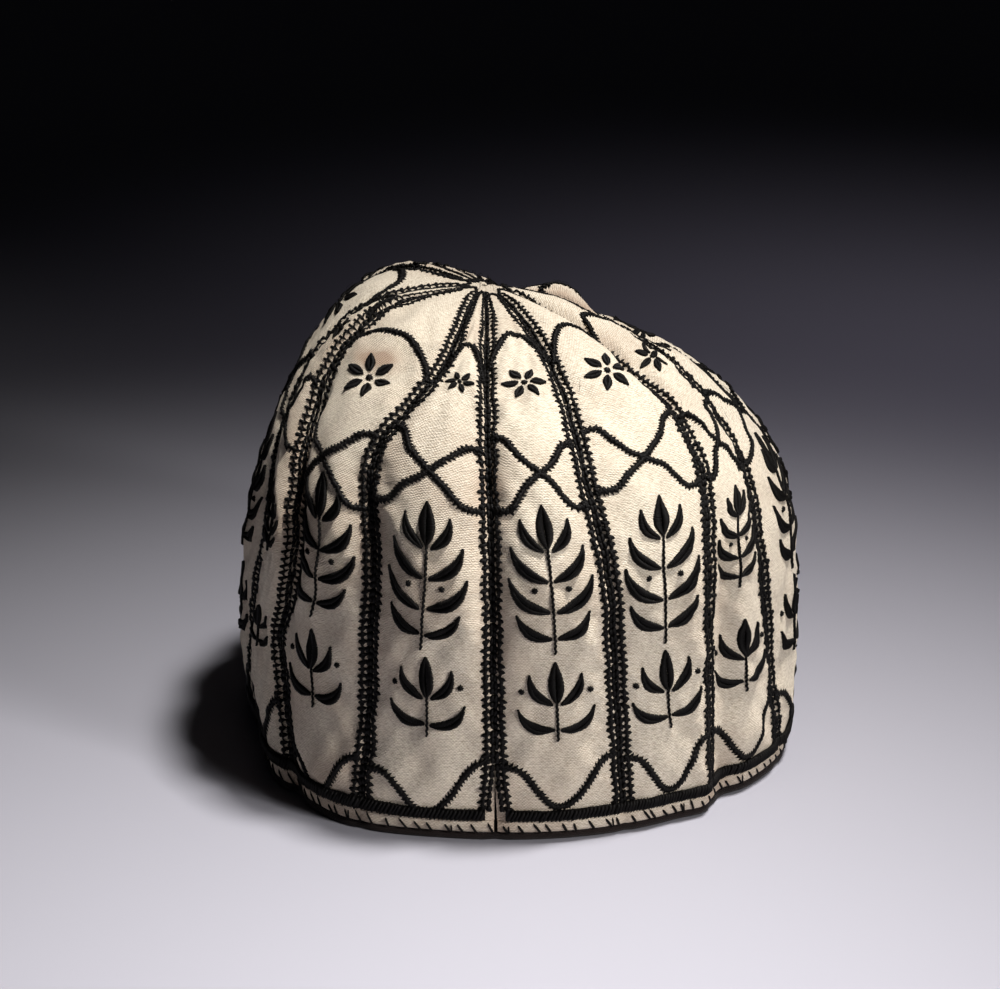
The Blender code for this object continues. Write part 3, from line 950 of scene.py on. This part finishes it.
# Leaves in mm from the motif's middle. Columns: base x and y, tip x and y, width, bend. Rows whose
# base or tip is off the middle line are sewn again on the other side.
SPRIG = (
    (0.0, 9.0, 0.0, 22.0, 5.4, 0.0),
    (1.0, 8.0, 6.4, 18.0, 3.6, -1.8),
    (0.5, -1.0, 10.2, 10.0, 4.0, -2.6),
    (0.5, -10.0, 12.0, 0.8, 4.2, -3.0),
    (0.5, -18.0, 10.4, -10.4, 3.8, -2.4),
)
SPRIG_STEM = ((0.0, -22.0), (0.0, 9.5))
SPRIG_BERRIES = ((5.0, -3.0),)
BUD = (
    (0.0, -1.0, 0.0, 12.0, 5.2, 0.0),
    (0.9, -1.5, 7.4, 8.2, 3.6, -2.2),
    (0.4, -9.5, 11.2, -2.6, 3.8, -3.0),
)
BUD_STEM = ((0.0, -12.5), (0.0, 0.0))
BUD_BERRIES = ((10.2, 3.0),)
FLOWER_PETALS = 6
FLOWER_INNER = 2.1
FLOWER_OUTER = 7.9
FLOWER_WIDTH = 3.5
MOTIF_RISES = {"flower": 0.735, "sprig": 0.422, "bud": 0.232}
# Where a gore is narrow a motif shrinks, to no less than this
MOTIF_LEAST = 0.5
# The flower that sits lower than the others
LOW_FLOWER = {"gore": 14, "by": 0.040}


def leaf(base_x, base_y, tip_x, tip_y, width, bend):
    """Slanted satin stitches from a leaf's bent midrib out to its edges, in mm: x, y, x, y."""
    base = np.array([base_x, base_y])
    run = np.array([tip_x, tip_y]) - base
    length = np.hypot(*run)
    ahead = run / length
    aside = np.array([-ahead[1], ahead[0]])
    t = np.linspace(0.03, 0.97, int(length / SATIN_PITCH) + 2)[:, None]
    rib = base + t * run + bend * 4 * t * (1 - t) * aside
    half = width / 2 * np.sin(math.pi * t**0.75) ** 0.8
    rows = []
    for side in (-1.0, 1.0):
        edge = rib + side * aside * half + ahead * np.minimum(0.8, 0.35 * width)
        rows.append(np.hstack([rib - side * aside * 0.25, edge]))
    return np.concatenate(rows)


def mirror_rows(rows):
    """The same stitches on the other side of the motif's middle line."""
    return rows * np.array([-1.0, 1.0, -1.0, 1.0])


def dot(x, y, radius=1.15):
    """A berry: stitches that cross in its middle."""
    angles = np.arange(4) * math.pi / 4
    reach_x = radius * np.cos(angles)
    reach_y = radius * np.sin(angles)
    return np.stack([x - reach_x, y - reach_y, x + reach_x, y + reach_y], axis=-1)


def stem(low, high, pitch=0.8, width=0.35):
    """A straight twisted stem, in mm."""
    y = np.arange(low[1], high[1], pitch)
    side = np.where(np.arange(len(y)) % 2 == 0, width, -width)
    return np.stack([low[0] - side, y - 0.9, low[0] + side, y + 0.9], axis=-1)


def spray(leaves, stem_ends, berries):
    """All stitches of an upright plant with a stem, in mm."""
    rows = [stem(*stem_ends)]
    for row in leaves:
        rows.append(leaf(*row))
        if row[0] or row[2]:
            rows.append(mirror_rows(leaf(*row)))
    for x, y in berries:
        rows.append(dot(x, y))
        rows.append(mirror_rows(dot(x, y)))
    return np.concatenate(rows)


def flower():
    """All stitches of the open flower, in mm: a ring of petals round a knot."""
    rows = [dot(0.0, 0.0, 1.5)]
    for petal in range(FLOWER_PETALS):
        angle = 2 * math.pi * (petal + 0.5) / FLOWER_PETALS
        out = (math.sin(angle), math.cos(angle))
        rows.append(leaf(FLOWER_INNER * out[0], FLOWER_INNER * out[1], FLOWER_OUTER * out[0],
                         FLOWER_OUTER * out[1], FLOWER_WIDTH, 0.0))
    return np.concatenate(rows)


def on_panel(number, rows, rise):
    """Stitches drawn in mm, laid on a gore with their middle at rise, smaller where it is narrow."""
    wide, high = metric(np.array([number + 0.5]), np.array([rise]))
    clear = gore_width(np.array([number + 0.5]), np.array([rise]))[0] - 2 * BAND_REACH
    fit = min(1.0, max(MOTIF_LEAST, clear / (2 * np.abs(rows[:, ::2]).max())))
    shaken = rows * fit + chance.normal(0.0, 0.05, rows.shape)
    lean = chance.normal(0.0, 0.03)
    ends = []
    for x, y in ((shaken[:, 0], shaken[:, 1]), (shaken[:, 2], shaken[:, 3])):
        rise_here = rise + (y - lean * x) / high[0]
        panel = np.full_like(rise_here, number + 0.5)
        ends.append((panel + (x + lean * y) / gore_width(panel, rise_here), rise_here))
    thick = SATIN_WIDTH * (1 + chance.normal(0.0, 0.06, len(rows)))
    return stitch(*ends[0], *ends[1], thick, SATIN_LIFT)


MOTIFS = {
    "flower": flower(),
    "sprig": spray(SPRIG, SPRIG_STEM, SPRIG_BERRIES),
    "bud": spray(BUD, BUD_STEM, BUD_BERRIES),
}
for number in range(GORES):
    tables = []
    for name, rows in MOTIFS.items():
        rise = MOTIF_RISES[name] + chance.normal(0.0, 0.004)
        if name == "flower" and number == LOW_FLOWER["gore"]:
            rise -= LOW_FLOWER["by"]
        tables.append(on_panel(number, rows, rise))
    sew(f"plant_motifs_{number + 1:02d}", tables, black)


# Hem stitches
# Black thread whipped over the hem by hand, a slanted stitch about every 4 mm, some of them doubled.

# In mm: the stitches' pitch, their upper and lower ends, their lean, and the depth they are sewn at
WHIP_PITCH = 3.9
WHIP_TOP = 5.9
WHIP_LOW = 2.1
WHIP_LEAN = 2.1
WHIP_BASE = 0.35
# One stitch in so many is doubled
WHIP_DOUBLED = 7
whip_count = int(GORES * RIM_GORE / WHIP_PITCH)
whip = (np.arange(whip_count) + 0.5) * GORES / whip_count
whip += chance.normal(0.0, 0.45, whip_count) / RIM_GORE
top_rise = (WHIP_TOP + chance.normal(0.0, 0.35, whip_count)) * MM / CLOTH_LENGTH
low_rise = np.full(whip_count, WHIP_LOW * MM / CLOTH_LENGTH)
lean = (WHIP_LEAN + chance.normal(0.0, 0.5, whip_count)) / RIM_GORE
whips = [stitch(whip, top_rise, whip + lean, low_rise, 0.80, 0.75)]
some = slice(0, None, WHIP_DOUBLED)
whips.append(stitch(whip[some] + lean[some], top_rise[some], whip[some] + lean[some] * 1.1,
                    low_rise[some], 0.5, 0.6))
sew("hem_stitches", whips, black, base=WHIP_BASE)


# Loose fibres
# Single hairs of the wool that have worked loose from the bands at the crown and the brow.

# A hair's thickness in mm, how many there are, the rises they spring from, and how far in mm they
# arch out of the cloth
HAIR = 0.08
HAIR_COUNT = 460
HAIR_RISES = (0.6, 0.98)
HAIR_LIFTS = (1.0, 5.5)
root = chance.integers(0, GORES, HAIR_COUNT).astype(float)
root_rise = chance.uniform(*HAIR_RISES, HAIR_COUNT)
root += chance.normal(0.0, 0.06, HAIR_COUNT)
tip = root + chance.normal(0.0, 0.10, HAIR_COUNT)
tip_rise = root_rise + chance.normal(0.0, 0.018, HAIR_COUNT)
hairs = stitch(root, root_rise, tip, tip_rise, HAIR, chance.uniform(*HAIR_LIFTS, HAIR_COUNT))
sew("loose_fibres", [hairs], black, thread=HAIR)


# Floor, light and camera
# A pale floor that runs back out of the light, a lamp above the cap, a wider one low at the front
# right, a faint one for the floor behind, and a camera a little above the cap.

FLOOR_HALF = 6.0
PAPER = (0.36, 0.355, 0.405, 1.0)
WORLD = (0.55, 0.56, 0.66, 1.0)
WORLD_STRENGTH = 0.006

floor_mesh = bmesh.new()
bmesh.ops.create_grid(floor_mesh, x_segments=1, y_segments=1, size=FLOOR_HALF)
floor_data = bpy.data.meshes.new("floor")
floor_mesh.to_mesh(floor_data)
floor_mesh.free()
paper = bpy.data.materials.new("pale paper")
paper.use_nodes = True
paper_shader = paper.node_tree.nodes["Principled BSDF"]
paper_shader.inputs["Base Color"].default_value = PAPER
paper_shader.inputs["Roughness"].default_value = 0.8
floor_data.materials.append(paper)
floor = add_object("floor", floor_data)


def lamp(name, location, aim, size, energy, colour, spread):
    """A square area light that points at aim, with its spread in degrees."""
    data = bpy.data.lights.new(name, "AREA")
    data.size = size
    data.energy = energy
    data.color = colour
    data.spread = math.radians(spread)
    light = add_object(name, data)
    light.location = location
    light.rotation_euler = (Vector(location) - Vector(aim)).to_track_quat("Z", "Y").to_euler()


lamp("top", (0.36, 0.03, 1.30), (0.01, -0.21, 0.0), 0.20, 1.70, (1.0, 0.975, 0.94), 41.5)
lamp("front", (1.05, -0.86, 0.58), (-0.10, -0.43, 0.04), 0.36, 2.25, (1.0, 0.975, 0.95), 44.0)
lamp("back", (0.54, 0.18, 1.16), (0.18, 0.31, 0.0), 0.30, 0.09, (0.92, 0.86, 1.0), 33.0)
world = bpy.data.worlds.new("studio")
world.use_nodes = True
world.node_tree.nodes["Background"].inputs["Color"].default_value = WORLD
world.node_tree.nodes["Background"].inputs["Strength"].default_value = WORLD_STRENGTH
bpy.context.scene.world = world

# The camera's height angle, its distance in metres, the point it looks at and its lens in mm
CAMERA_UP = math.radians(22.0)
CAMERA_AWAY = 0.92
CAMERA_AIM = Vector((-0.0066, 0.00054, 0.0765))
CAMERA_LENS = 102.0
back = Vector((0.0, -math.cos(CAMERA_UP), math.sin(CAMERA_UP)))
camera = add_object("camera", bpy.data.cameras.new("camera"))
camera.data.lens = CAMERA_LENS
camera.location = CAMERA_AIM + back * CAMERA_AWAY
camera.rotation_euler = back.to_track_quat("Z", "Y").to_euler()
bpy.context.scene.camera = camera
bpy.context.scene.view_settings.view_transform = "Standard"
